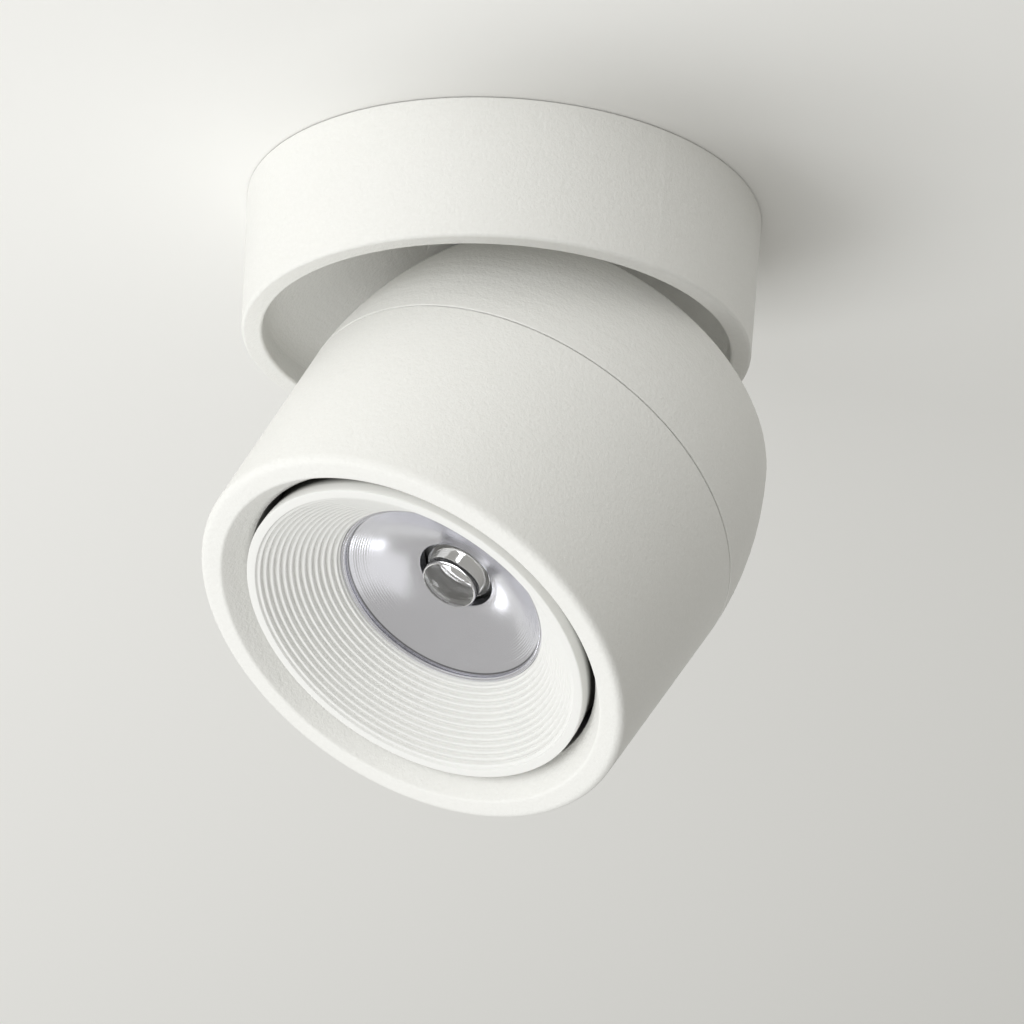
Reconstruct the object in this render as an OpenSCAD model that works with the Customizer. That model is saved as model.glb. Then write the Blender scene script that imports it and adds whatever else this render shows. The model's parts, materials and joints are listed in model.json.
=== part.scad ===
// Surface-mounted ceiling spotlight with a head that swivels and tilts.
// Millimetres. Z is up and the origin is the centre of the face that meets the ceiling.
// The head is drawn straight down about its hinge, then leaned by head_tilt towards -Y.
// A depth is measured back from the head's front plane, along the head's own axis.

/* [Canopy ring] */
// Diameter of the ring where it meets the ceiling
canopy_d = 90; // [80:1:110]
// Height of the ring
canopy_h = 25.5; // [22:0.5:32]
// How much narrower the ring's radius is at its lower rim
canopy_draft = 0.75; // [0:0.05:1.5]
// Wall of the ring at its lower rim
canopy_wall = 3.6; // [2.5:0.1:5]
// Radius that rounds the edges of the lower rim
rim_round = 0.6; // [0.2:0.1:1]
// Thickness of the web that closes the ring inside
web_t = 2; // [1.6:0.1:2.5]
// Depth of the web's underside at the middle, below the ceiling
web_drop = 6.6; // [6.4:0.1:7.5]
// Depth at which the well's roof curves out of the wall, below the ceiling
well_drop = 21.5; // [20:0.5:23]

/* [Ceiling plate] */
// Thickness of the steel plate
plate_t = 1.5; // [1:0.1:2]
// Distance between the two slots for the ceiling screws
slot_spacing = 56; // [50:1:60]
// Width of a slot
slot_w = 4.6; // [3.5:0.1:5.5]
// Length of a slot from end to end
slot_len = 12; // [8:1:14]
// Bore of the rubber bush that the mains cable comes through
cable_bore_d = 7; // [5:0.5:9]

/* [Swivel and arm] */
// Least gap between the head's back edge and the arm's flange as the head tilts
swing_gap = 0.4; // [0.2:0.1:5]
// Diameter of the hollow stem that the head swivels on
stem_d = 10; // [9:0.5:11]
// Bore of the stem, which the wires pass through
stem_bore_d = 6; // [4:0.5:7]
// Width of the arm's blade across the hinge
arm_w = 10; // [8:0.5:11]
// Thickness of the arm's blade
arm_t = 3; // [2:0.25:3.5]
// Diameter of the arm's eye
eye_d = 9; // [8:0.25:9.5]
// Diameter of the hinge pin
pin_d = 4; // [3:0.25:5]

/* [Head] */
// Lean of the head from straight down, as drawn
head_tilt = 31; // [0:1:38]
// Largest lean that the slot in the back allows
tilt_max = 40; // [39:0.5:41]
// Outer diameter of the head at its front
head_d = 80.5; // [79:0.5:81]
// Outer diameter of the head at the seam
seam_d = 83; // [81.5:0.5:83.5]
// Diameter of the head at its back edge
back_d = 72; // [71:0.5:73]
// Length of the head
head_len = 65.5; // [64.5:0.5:66]
// Distance from the front plane to the hinge
front_reach = 28.5; // [28.5:0.5:31]
// Depth of the seam between the two shells
seam_depth = 39.5; // [38:0.1:41]
// Wall of the shells
shell_wall = 2.4; // [1.8:0.1:2.6]
// Radius that rounds the head's front edge
front_round = 1.4; // [0.8:0.1:2]
// Radius that rounds the head's back edge
back_round = 2; // [1.6:0.1:2.4]
// Width of the flat on the bezel
bezel_flat = 2.2; // [1.5:0.1:3]
// Diameter of the mouth that the baffle sits in
mouth_d = 65.5; // [64:0.5:67]
// Depth of the mouth's edge
mouth_depth = 5; // [4:0.1:5.5]

/* [Baffle and optic] */
// Gap round the baffle in the mouth
baffle_gap = 0.8; // [0.8:0.05:1.2]
// Depth of the baffle's rim
baffle_depth = 1.7; // [1.2:0.1:2.2]
// Width of the baffle's flat rim
baffle_rim = 1.8; // [1.4:0.1:2.2]
// Wall of the baffle
baffle_wall = 1.4; // [1.2:0.1:1.6]
// Number of ribs on the baffle's cone
rib_count = 13; // [8:1:16]
// Radius of each rib
rib_r = 0.72; // [0.65:0.01:0.8]
// Diameter of the optic's mouth
optic_d = 37; // [36:0.5:37.5]
// Depth of the optic's mouth
optic_depth = 12; // [11.5:0.1:12.4]
// Diameter of the clear core lens
core_d = 10.6; // [9:0.1:11.5]

/* [Hidden] */
$fn = 96;

white = [0.93, 0.93, 0.91];
steel = [0.72, 0.73, 0.75];
bright = [0.85, 0.86, 0.88];
aluminium = [0.66, 0.68, 0.7];
brass = [0.8, 0.66, 0.35];
natural = [0.9, 0.89, 0.84];
rubber = [0.12, 0.12, 0.12];
black = [0.08, 0.08, 0.09];

// Clearances: loose between still pieces, slip for what slides in, free for what must never touch
slip = 0.1;
loose = 0.5;
free = 0.8;
eps = 0.01;

// Canopy and its plate
canopy_r = canopy_d / 2;
rim_r = canopy_r - canopy_draft;
well_r = rim_r - canopy_wall;
skirt_wall = canopy_wall - 0.3;
cavity_r = canopy_r - skirt_wall;
roof_r = 14;
roof_power = 1.4;
roof_steps = 16;
web_top = -web_drop + web_t;
plate_r = cavity_r - loose;
fixing_inset = 8.7;
fixing_r = cavity_r - fixing_inset;
fixing_angles = [-40, 140];
fixing_len = 8;
fixing_floor = 2.2;
fixing_pocket_r = 3.4;
fixing_boss_r = 5;
standoff_r = 3;
plate_hole_r = 14;
bush_x = -20;
bush_y = -19;
bush_collar = 2;
bush_collar_t = 1.5;
block_angle = 45;
block_gap = 2.2;
block_w = 16;
block_d = 10;
block_r = cavity_r - block_d / 2 - block_gap;
block_web_d = 3;
block_web_h = 2.5;
way_pitch = 5;
way_w = 4.4;
wire_hole_r = 1.3;
clamp_hole_r = 1.5;
clamp_screw_len = 2.4;
cut_w = 0.4;
key_r = 1;

// Swivel stack, from the web down to the flange and from the web up to the nut
stem_r = stem_d / 2;
bearing_r = 12.5;
bearing_t = 0.5;
flange_r = 13;
flange_t = 1.8;
wave_r = 8.5;
wave_t = 0.6;
wave_rise = 0.15;
keyed_t = 1;
keyed_r = 9;
nut_t = 2.2;
nut_af = 14;
flat_half = stem_r - 0.8;
stop_r = 11.5;
stop_pin_r = 1.5;
stop_lug_w = 3;
bearing_top = -web_drop;
flange_top = bearing_top - bearing_t;
flange_bottom = flange_top - flange_t;
wave_top = web_top + wave_t;
keyed_top = wave_top + keyed_t;
nut_top = keyed_top + nut_t;
stem_top = nut_top + 0.2;

// Arm and hinge
eye_r = eye_d / 2;
pin_r = pin_d / 2;
shoulder_half = arm_w / 2 + 1.5;
window_h = 4;
shoulder_h = 3.2;
shoulder_slope = 1.8;
gusset = 5;
washer_t = 1;
washer_r = eye_r - 0.3;
cheek_in = arm_w / 2 + washer_t;
cheek_t = 4;
cheek_out = cheek_in + cheek_t;
pin_head_r = pin_r + 1.5;
pin_head_t = 2.2;
hinge_nut_t = 3.2;
hinge_nut_af = 7;

// Head: radii, and heights above the hinge in the head's own frame
head_r = head_d / 2;
seam_r = seam_d / 2;
back_r = back_d / 2;
back_z = head_len - front_reach;
pivot_drop = round(2 * (norm([back_r, back_z]) + swing_gap - flange_bottom)) / 2;
inner_r = head_r - shell_wall - 0.25;
eye_gap = 0.7;
floor_t = 1.6;
seat_depth = front_reach - eye_r - eye_gap - floor_t;
seat_r = inner_r - 1.2;
taper_steps = 8;
round_steps = 6;
bezel_round = 2.5;
bore_r = mouth_d / 2;
return_wall = 1.8;
return_depth = 15;
bezel_t = 2.6;
lip_len = 3;
lip_wall = 1.6;
groove = 0.15;
channel = cheek_in + loose;
slot_half = arm_w / 2 + free;
slot_corner = 1.2;

// Heat sink
sink_r = inner_r - slip;
base_t = 3.2;
cheek_r = 6;
fin_t = 1.6;
fin_pitch = 4.4;
fin_count = 5;
fin_start = cheek_out + hinge_nut_t + 2 * free;
fin_r = inner_r - lip_wall - loose;
sink_screw_r = seat_r - 2.6;
spot_face = 0.2;
sink_screw_angles = [0, 120, 240];
m3_r = 1.5;
m3_head_r = 2.75;
m3_head_t = 1.9;
boss_r = 3;
pillar_r = 28;
pillar_angles = [90, 210, 330];
pillar_foot = 4;
pillar_neck = 2.8;
back_t = 2.5;
pillar_top = back_z - back_t;
pillar_hole = 9;

// Driver: its board hangs below the back by the height of its tallest parts, and the fins end below it
board_t = 1.6;
board_r = fin_r;
board_back = 9;
part_gap = 4.9;
can_r = 4.6;
can_h = 13;
can_x = -20.5;
can_y = 6;
board_z = pillar_top - part_gap - can_h - board_t;
board_top = board_z + board_t;
fin_gap = 3;
fin_top = board_z - fin_gap;
bobbin_x = 20.5;
bobbin_y = 3;
bobbin_w = 14;
bobbin_l = 13;
bobbin_h = 11;
bobbin_cheek = 1.5;
coil_y = 17.5;
coil_r = 3.4;
coil_wire_r = 2.6;
plug_x = 24.5;
plug_y = 16;
plug_w = 8;
plug_l = 6;
plug_h = 6;
plug_pin = 2.4;

// Light engine: depths from the heat sink's face forward
sink_face = seat_depth;
pad_t = 0.3;
led_t = 1;
led_side = 19;
emitter_r = 5.5;
emitter_t = 0.4;
led_face = sink_face - pad_t - led_t;
holder_lip = 0.7;
holder_r = 16.5;
holder_face = led_face - holder_lip;
holder_hole = 8.6;
holder_screw_r = 13.5;
m25_r = 1.25;
m25_head_r = 2.2;

// Optic
optic_r = optic_d / 2;
ring_w = 0.8;
ring_t = 1;
neck_r = 7.4;
neck_depth = led_face - emitter_t - 0.4;
reflector_t = 0.9;
reflector_flange = 2.4;
bowl_steps = 14;
core_r = core_d / 2;
core_foot_t = 0.8;
core_front = optic_depth + 2.2;
core_dome = 1.3;

// Baffle
baffle_r = bore_r - baffle_gap;
cone_top_r = baffle_r - baffle_rim;
cone_end_r = optic_r + ring_w;
cone_end = optic_depth - 0.2;
skirt_end = 13.5;
rib_in = 0.35;
clip_t = 0.4;
clip_w = 6;
clip_angles = [30, 150, 270];

// Points along an arc of radius r round a centre, from one angle to another
function arc(centre, r, from, to, steps) =
  [for (i = [0:steps]) let (a = from + (to - from) * i / steps) centre + r * [cos(a), sin(a)]];

// Height above the hinge, in the head's frame, of a depth behind the front plane
function up(depth) = depth - front_reach;

// Points (radius, depth) turned into (radius, height above the hinge)
function lifted(points) = [for (p = points) [p[0], up(p[1])]];

// Outer radius of the head at a depth: widening evenly to the seam, then drawn in along a rounded curve
function side_r(depth) =
  depth <= seam_depth
  ? head_r + (seam_r - head_r) * depth / seam_depth
  : seam_r - (seam_r - back_r) * pow((depth - seam_depth) / (head_len - seam_depth), 2);

// Outline of the head's side from one depth to another
function side(from, to) =
  [for (i = [0:taper_steps]) let (d = from + (to - from) * i / taper_steps) [side_r(d), d]];

// Height of the underside of the well's roof at a radius: level at the middle, upright at the wall
function roof(r) =
  let (u = min(1, max(0, (r - roof_r) / (well_r - roof_r))))
  -well_drop + (well_drop - web_drop) * pow(1 - pow(u, roof_power), 1 / roof_power);

// Radius of the bright bowl at a share of its depth, steep at the neck and open at the mouth
function bowl_r(share) = neck_r + (optic_r - neck_r) * pow(share, 0.72);

// Faces of the canopy's fixing bosses: where the screw seats, and where the standoff stands
fixing_face = roof(fixing_r - fixing_pocket_r) + 0.3;
fixing_top = fixing_face + fixing_floor;

// Height of the terminal block, which fills the space between the plate and the roof's top
block_h = -roof(block_r - block_d / 2) - web_t - plate_t - loose;

// Places the head's own frame at the hinge, leaning towards -Y
module in_head() {
  translate([0, 0, -pivot_drop])
    rotate([-head_tilt, 0, 0])
      children();
}

// Turns an outline of radius and height round the vertical axis
module turned(points) {
  rotate_extrude()
    polygon(points);
}

// Repeats its children at a radius, once for each angle
module at_angles(angles, r) {
  for (a = angles)
    rotate([0, 0, a])
      translate([r, 0, 0])
        children();
}

// Slot with round ends along Y, cut down from z = 0
module slot(len, w, deep) {
  for (s = [-1, 1])
    translate([0, s * (len - w) / 2, -deep])
      cylinder(d = w, h = deep);
  translate([-w / 2, -(len - w) / 2, -deep])
    cube([w, len - w, deep]);
}

// Cap screw standing on z = 0 with its head above and its shank below
module cap_screw(r, head_r, head_t, len, key) {
  difference() {
    union() {
      cylinder(r = head_r, h = head_t);
      translate([0, 0, -len])
        cylinder(r = r, h = len + eps);
    }
    translate([0, 0, head_t / 2])
      cylinder(r = key, h = head_t, $fn = 6);
  }
}

// Countersunk screw with its face at z = 0 and its shank below
module sunk_screw(r, head_r, len, key) {
  difference() {
    turned([[0, 0], [head_r, 0], [head_r, -0.3], [r, -0.3 - (head_r - r)], [r, -len], [0, -len]]);
    translate([0, 0, -1.2])
      cylinder(r = key, h = 2, $fn = 6);
  }
}

// Countersunk hole with its mouth at z = 0, going down
module sunk_hole(r, head_r, len) {
  turned([
    [0, eps], [head_r + slip, eps], [head_r + slip, -0.3 - slip], [r + slip, -0.3 - slip - (head_r - r)],
    [r + slip, -len], [0, -len]
  ]);
}

// Steel plate that is screwed to the ceiling
module ceiling_plate() {
  color(steel)
    difference() {
      translate([0, 0, -plate_t])
        cylinder(r = plate_r, h = plate_t);
      translate([0, 0, -plate_t - eps])
        cylinder(r = plate_hole_r, h = plate_t + 2 * eps);
      for (s = [-1, 1])
        translate([0, s * slot_spacing / 2, eps])
          slot(slot_len, slot_w, plate_t + 2 * eps);
      translate([bush_x, bush_y, -plate_t - eps])
        cylinder(r = cable_bore_d / 2 + bush_collar, h = plate_t + 2 * eps);
      at_angles(fixing_angles, fixing_r)
        translate([0, 0, -plate_t - eps])
          cylinder(r = standoff_r - 1, h = plate_t + 2 * eps);
    }
}

// Two threaded bushes pressed into the plate, which the canopy is screwed to
module plate_standoffs() {
  neck = standoff_r - 1;
  color(brass)
    at_angles(fixing_angles, fixing_r)
      turned([
        [m3_r + slip, -0.2], [neck - slip, -0.2], [neck - slip, -plate_t], [standoff_r, -plate_t],
        [standoff_r, fixing_top], [m3_r + slip, fixing_top]
      ]);
}

// Rubber bush in the plate's cable hole
module cable_bush() {
  bore = cable_bore_d / 2;
  color(rubber)
    translate([bush_x, bush_y, 0])
      turned([
        [bore, -0.1], [bore + bush_collar - slip, -0.1], [bore + bush_collar - slip, -plate_t],
        [bore + 2 * bush_collar, -plate_t], [bore + 2 * bush_collar, -plate_t - bush_collar_t],
        [bore, -plate_t - bush_collar_t]
      ]);
}

// Places the terminal block's own frame under the plate, with X along the wall
module at_block() {
  rotate([0, 0, block_angle])
    translate([block_r, 0, -plate_t])
      rotate([0, 0, 90])
        children();
}

// Three-way terminal block with a funnel for each wire
module terminal_block() {
  color(natural)
    at_block()
      difference() {
        union() {
          for (i = [-1:1])
            translate([i * way_pitch - way_w / 2, -block_d / 2, -block_h])
              cube([way_w, block_d, block_h]);
          translate([-block_w / 2, -(block_d - block_web_d) / 2, -block_h + block_web_h])
            cube([block_w, block_d - block_web_d, block_h - block_web_h]);
        }
        for (i = [-1:1]) {
          translate([i * way_pitch, block_d / 2 + eps, -block_h / 2])
            rotate([90, 0, 0])
              cylinder(r = wire_hole_r, h = block_d + 2 * eps);
          translate([i * way_pitch, 0, -block_h - eps])
            cylinder(r = clamp_hole_r, h = block_h / 2);
        }
      }
}

// Clamp screws of the terminal block
module terminal_screws() {
  color(brass)
    at_block()
      for (i = [-1:1])
        translate([i * way_pitch, 0, -block_h + 0.4])
          difference() {
            cylinder(r = clamp_hole_r - 1.5 * slip, h = clamp_screw_len);
            translate([-clamp_hole_r, -cut_w / 2, -eps])
              cube([2 * clamp_hole_r, cut_w, 1.5 * cut_w]);
          }
}

// Cast ring with a funnel-shaped roof inside, which carries the swivel
module canopy() {
  rim_z = -canopy_h;
  slope = canopy_draft / canopy_h;
  spread = well_r - roof_r;
  under = [for (i = [0:roof_steps]) let (r = roof_r + spread * sin(90 * i / roof_steps)) [r, roof(r)]];
  over = [for (p = under) if (p[0] < well_r - web_t) [p[0], p[1] + web_t]];
  color(white)
    difference() {
      union() {
        turned(concat(
          [[canopy_r, 0]],
          arc([rim_r - rim_round, rim_z + rim_round], rim_round, -atan(slope), -90, round_steps),
          arc([well_r + rim_round, rim_z + rim_round], rim_round, -90, -180, round_steps),
          [for (i = [roof_steps:-1:0]) under[i]],
          [[stem_r + slip / 2, -web_drop], [stem_r + slip / 2, web_top]],
          over,
          [[cavity_r, over[len(over) - 1][1]], [cavity_r, 0]]
        ));
        intersection() {
          at_angles(fixing_angles, fixing_r)
            translate([0, 0, -well_drop])
              cylinder(r = fixing_boss_r, h = well_drop + fixing_top);
          turned(concat(
            [[roof_r, 0]],
            [for (p = under) [p[0], p[1] + eps]],
            [[cavity_r, -well_drop], [cavity_r, 0]]
          ));
        }
        translate([0, stop_r, web_top - eps])
          cylinder(r = stop_pin_r, h = wave_t + keyed_t + 0.5);
      }
      at_angles(fixing_angles, fixing_r) {
        translate([0, 0, -canopy_h])
          cylinder(r = fixing_pocket_r, h = canopy_h + fixing_face);
        translate([0, 0, fixing_face])
          rotate([180, 0, 0])
            sunk_hole(m3_r, m3_head_r, fixing_top - fixing_face + 2 * slip);
      }
    }
}

// Two countersunk screws up through the roof into the standoffs
module canopy_screws() {
  color(steel)
    at_angles(fixing_angles, fixing_r)
      translate([0, 0, fixing_face + slip])
        rotate([180, 0, 0])
          sunk_screw(m3_r, m3_head_r, fixing_len, key_r);
}

// Plastic disc that the arm's flange turns on
module swivel_bearing() {
  color(natural)
    translate([0, 0, flange_top])
      difference() {
        cylinder(r = bearing_r, h = bearing_t);
        translate([0, 0, -eps])
          cylinder(r = stem_r + slip, h = bearing_t + 2 * eps);
      }
}

// Washer keyed to the stem's flats, whose lug meets the canopy's stop pin
module stop_washer() {
  reach = stop_r + stop_pin_r;
  color(steel)
    translate([0, 0, wave_top])
      difference() {
        union() {
          cylinder(r = keyed_r, h = keyed_t);
          translate([-stop_lug_w / 2, -reach, 0])
            cube([stop_lug_w, reach - stem_r - 1, keyed_t]);
        }
        intersection() {
          translate([0, 0, -eps])
            cylinder(r = stem_r + slip, h = keyed_t + 2 * eps);
          translate([-stem_r - 1, -flat_half - slip, -eps])
            cube([2 * stem_r + 2, 2 * (flat_half + slip), keyed_t + 2 * eps]);
        }
      }
}

// Spring washer that keeps the swivel firm, pressed nearly flat
module wave_washer() {
  color(steel)
    translate([0, 0, web_top])
      difference() {
        cylinder(r = wave_r, h = wave_t);
        translate([0, 0, -eps])
          cylinder(r = stem_r + loose, h = wave_t + 2 * eps);
        for (a = [0, 120, 240])
          rotate([0, 0, a])
            translate([-wave_r - 1, 0, wave_t])
              rotate([0, 90, 0])
                translate([0, 0, wave_r + 1 + stem_r])
                  cylinder(r = wave_rise, h = wave_r, $fn = 24);
      }
}

// Thin lock nut on the stem
module swivel_nut() {
  color(steel)
    translate([0, 0, keyed_top])
      difference() {
        intersection() {
          cylinder(r = nut_af / 2 / cos(30), h = nut_t, $fn = 6);
          turned([
            [0, 0], [nut_af / 2, 0], [nut_af / 2 / cos(30), 0.5], [nut_af / 2 / cos(30), nut_t - 0.5],
            [nut_af / 2, nut_t], [0, nut_t]
          ]);
        }
        translate([0, 0, -eps])
          cylinder(r = stem_r + slip / 2, h = nut_t + 2 * eps);
      }
}

// Outline of the arm's blade, seen along Y: wide below the flange and narrow down to the eye
module blade_outline() {
  top = flange_bottom + eps;
  half = arm_w / 2;
  polygon([
    [-shoulder_half, top], [-shoulder_half, top - shoulder_h + shoulder_slope], [-half, top - shoulder_h],
    [-half, -pivot_drop], [half, -pivot_drop], [half, top - shoulder_h],
    [shoulder_half, top - shoulder_h + shoulder_slope], [shoulder_half, top]
  ]);
}

// One casting: hollow stem, flange, blade with a window for the wires, and the eye of the hinge
module tilt_arm() {
  leg = shoulder_half - stem_bore_d / 2;
  color(white)
    difference() {
      union() {
        intersection() {
          translate([0, 0, flange_top - eps])
            cylinder(r = stem_r, h = stem_top - flange_top + eps);
          union() {
            translate([-stem_r, -flat_half, web_top])
              cube([2 * stem_r, 2 * flat_half, stem_top - web_top]);
            translate([-stem_r, -stem_r, flange_top - 1])
              cube([2 * stem_r, 2 * stem_r, web_top - flange_top + 1 + eps]);
          }
        }
        translate([0, 0, flange_bottom])
          cylinder(r = flange_r, h = flange_t);
        translate([0, arm_t / 2, 0])
          rotate([90, 0, 0])
            linear_extrude(arm_t)
              blade_outline();
        for (s = [0, 1])
          mirror([s, 0, 0])
            translate([stem_bore_d / 2, arm_t / 2 - eps, flange_bottom + eps])
              rotate([90, 0, 90])
                linear_extrude(leg)
                  polygon([[0, 0], [gusset, 0], [0, -gusset]]);
        translate([-arm_w / 2, 0, -pivot_drop])
          rotate([0, 90, 0])
            cylinder(r = eye_r, h = arm_w);
      }
      translate([0, 0, flange_bottom - eps])
        cylinder(r = stem_bore_d / 2, h = stem_top - flange_bottom + 2 * eps);
      translate([-stem_bore_d / 2, -arm_t, flange_bottom - window_h])
        cube([stem_bore_d, 2 * arm_t, window_h + eps]);
      translate([-arm_w / 2 - eps, 0, -pivot_drop])
        rotate([0, 90, 0])
          cylinder(r = pin_r + 0.05, h = arm_w + 2 * eps);
    }
}

// Two friction washers between the arm's eye and the heat sink's cheeks
module hinge_washers() {
  color(natural)
    in_head()
      for (s = [0, 1])
        mirror([s, 0, 0])
          translate([arm_w / 2, 0, 0])
            rotate([0, 90, 0])
              difference() {
                cylinder(r = washer_r, h = washer_t);
                translate([0, 0, -eps])
                  cylinder(r = pin_r + slip, h = washer_t + 2 * eps);
              }
}

// Shoulder pin through both cheeks and the arm's eye
module hinge_pin() {
  color(steel)
    in_head()
      rotate([0, 90, 0])
        difference() {
          union() {
            translate([0, 0, -cheek_out - pin_head_t])
              cylinder(r = pin_head_r, h = pin_head_t);
            translate([0, 0, -cheek_out - eps])
              cylinder(r = pin_r, h = 2 * cheek_out + hinge_nut_t + 0.8 + eps);
          }
          translate([0, 0, -cheek_out - pin_head_t - eps])
            cylinder(r = 1.25, h = 1.2, $fn = 6);
        }
}

// Lock nut that sets the hinge's friction
module hinge_nut() {
  color(steel)
    in_head()
      translate([cheek_out, 0, 0])
        rotate([0, 90, 0])
          difference() {
            rotate([0, 0, 30])
              cylinder(r = hinge_nut_af / 2 / cos(30), h = hinge_nut_t, $fn = 6);
            translate([0, 0, -eps])
              cylinder(r = pin_r + 0.05, h = hinge_nut_t + 2 * eps);
          }
}

// Front shell: side, rounded edge, dished bezel, and the bore that holds the baffle
module front_shell() {
  flat_in = head_r - front_round - bezel_flat;
  slope = atan(mouth_depth / (flat_in - bore_r));
  tangent = bezel_round * tan(slope / 2);
  bend = flat_in + tangent;
  bezel = [for (i = [0:round_steps]) let (a = slope * i / round_steps)
    [bend - bezel_round * sin(a), bezel_round * (1 - cos(a))]];
  outline = concat(
    [[inner_r, seam_depth], [side_r(seam_depth) - groove, seam_depth]],
    side(seam_depth - groove, front_round),
    arc([head_r - front_round, front_round], front_round, 0, -90, round_steps),
    bezel,
    [
      [bore_r, mouth_depth], [bore_r, return_depth], [bore_r + return_wall, return_depth],
      [bore_r + return_wall, mouth_depth + bezel_t], [seat_r, mouth_depth + bezel_t],
      [seat_r, seat_depth], [inner_r, seat_depth]
    ]
  );
  color(white)
    in_head()
      difference() {
        union() {
          turned(lifted(outline));
          at_angles(sink_screw_angles, sink_screw_r)
            translate([0, 0, up(return_depth + 0.3)])
              cylinder(r = boss_r, h = seat_depth - return_depth - 0.3 - slip);
        }
        at_angles(sink_screw_angles, sink_screw_r)
          translate([0, 0, up(return_depth + 1)])
            cylinder(r = m3_r, h = seat_depth);
      }
}

// Rear shell: drawn-in side, rounded back edge, and the slot that the arm swings in
module rear_shell() {
  lean = arm_t / 2 / cos(tilt_max) + free;
  slot_to = -back_z * tan(tilt_max) - lean;
  slot_from = arm_t / 2 + free;
  lip_r = inner_r - slip;
  bend = atan(2 * (seam_r - back_r) / (head_len - seam_depth));
  edge = head_len - back_round * (1 - sin(bend));
  outline = concat(
    [[lip_r - lip_wall, seam_depth - lip_len], [lip_r, seam_depth - lip_len], [lip_r, seam_depth],
     [side_r(seam_depth) - groove, seam_depth]],
    side(seam_depth + groove, edge),
    arc([side_r(edge) - back_round * cos(bend), head_len - back_round], back_round, bend, 90, round_steps),
    [[0, head_len], [0, head_len - back_t], [back_r - shell_wall, head_len - back_t],
     [lip_r - lip_wall, head_len - 3 * back_t]]
  );
  color(white)
    in_head()
      difference() {
        turned(lifted(outline));
        translate([0, 0, pillar_top - eps])
          linear_extrude(back_t + 1)
            union() {
              translate([-slot_half, slot_to + slot_corner])
                square([2 * slot_half, slot_from - slot_to - 2 * slot_corner]);
              translate([-slot_half + slot_corner, slot_to])
                square([2 * (slot_half - slot_corner), slot_from - slot_to]);
              for (x = [-1, 1], y = [slot_to + slot_corner, slot_from - slot_corner])
                translate([x * (slot_half - slot_corner), y])
                  circle(r = slot_corner);
            }
        at_angles(pillar_angles, pillar_r)
          translate([0, 0, back_z])
            sunk_hole(m3_r, m3_head_r, back_t + 1);
      }
}

// Three countersunk screws through the back into the heat sink's pillars
module rear_screws() {
  color(steel)
    in_head()
      at_angles(pillar_angles, pillar_r)
        translate([0, 0, back_z - slip])
          sunk_screw(m3_r, m3_head_r, pillar_hole, key_r);
}

// Cast heat sink: base, fins each side of the arm's channel, hinge cheeks and screw pillars
module heat_sink() {
  base_z = up(seat_depth);
  base_top = base_z + base_t;
  color(aluminium)
    in_head()
      difference() {
        union() {
          translate([0, 0, base_z])
            cylinder(r = sink_r, h = base_t);
          intersection() {
            translate([0, 0, base_z])
              cylinder(r = fin_r, h = fin_top - base_z);
            for (s = [0, 1], i = [0:fin_count - 1])
              mirror([s, 0, 0])
                translate([fin_start + i * fin_pitch, -fin_r, base_z + eps])
                  cube([fin_t, 2 * fin_r, fin_top - base_z]);
          }
          for (s = [0, 1])
            mirror([s, 0, 0]) {
              translate([cheek_in, 0, 0])
                rotate([0, 90, 0])
                  cylinder(r = cheek_r, h = cheek_t);
              translate([cheek_in, -cheek_r, base_z + eps])
                cube([cheek_t, 2 * cheek_r, -base_z]);
            }
          at_angles(pillar_angles, pillar_r) {
            translate([0, 0, base_z + eps])
              cylinder(r = pillar_foot, h = board_z - base_z - eps);
            translate([0, 0, base_z + eps])
              cylinder(r = pillar_neck, h = pillar_top - base_z - eps);
          }
        }
        translate([-cheek_in, -fin_r, base_z + floor_t])
          cube([2 * cheek_in, 2 * fin_r - 2 * cheek_r, base_t]);
        translate([-cheek_out - 1, 0, 0])
          rotate([0, 90, 0])
            cylinder(r = pin_r + 0.05, h = 2 * cheek_out + 2);
        at_angles(pillar_angles, pillar_r)
          translate([0, 0, pillar_top - pillar_hole])
            cylinder(r = m3_r, h = pillar_hole + 1);
        at_angles(sink_screw_angles, sink_screw_r)
          translate([0, 0, base_z - eps])
            cylinder(r = m3_r + slip, h = base_t + 1);
        at_angles(sink_screw_angles, sink_screw_r)
          translate([0, 0, base_top - spot_face])
            cylinder(r = m3_head_r + loose, h = fin_top - base_z);
        at_angles([0, 180], holder_screw_r)
          translate([0, 0, base_z - eps])
            cylinder(r = m25_r, h = base_t - 0.4);
      }
}

// Three screws that hold the heat sink in the front shell
module sink_screws() {
  color(steel)
    in_head()
      at_angles(sink_screw_angles, sink_screw_r)
        translate([0, 0, up(seat_depth) + base_t - spot_face])
          cap_screw(m3_r - 0.05, m3_head_r, m3_head_t, base_t + 5, 1.25);
}

// Horseshoe circuit board of the driver, open where the arm swings
module driver_board() {
  color([0.1, 0.32, 0.18])
    in_head()
      translate([0, 0, board_z])
        difference() {
          cylinder(r = board_r, h = board_t);
          translate([-channel - 1, -board_r - 1, -eps])
            cube([2 * channel + 2, board_r + board_back, board_t + 2 * eps]);
          at_angles(pillar_angles, pillar_r)
            translate([0, 0, -eps])
              cylinder(r = pillar_neck + slip, h = board_t + 2 * eps);
        }
}

// Transformer of the driver: wound core between two cheeks of its bobbin
module driver_transformer() {
  winding_w = bobbin_w - 2 * bobbin_cheek;
  winding_l = bobbin_l - 2 * bobbin_cheek;
  color([0.85, 0.75, 0.25])
    in_head()
      translate([bobbin_x, bobbin_y, board_top])
        union() {
          for (z = [0, bobbin_h - bobbin_cheek])
            translate([-bobbin_w / 2, -bobbin_l / 2, z])
              cube([bobbin_w, bobbin_l, bobbin_cheek]);
          translate([-winding_w / 2, -winding_l / 2, bobbin_cheek - eps])
            cube([winding_w, winding_l, bobbin_h - 2 * bobbin_cheek + 2 * eps]);
        }
}

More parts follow.
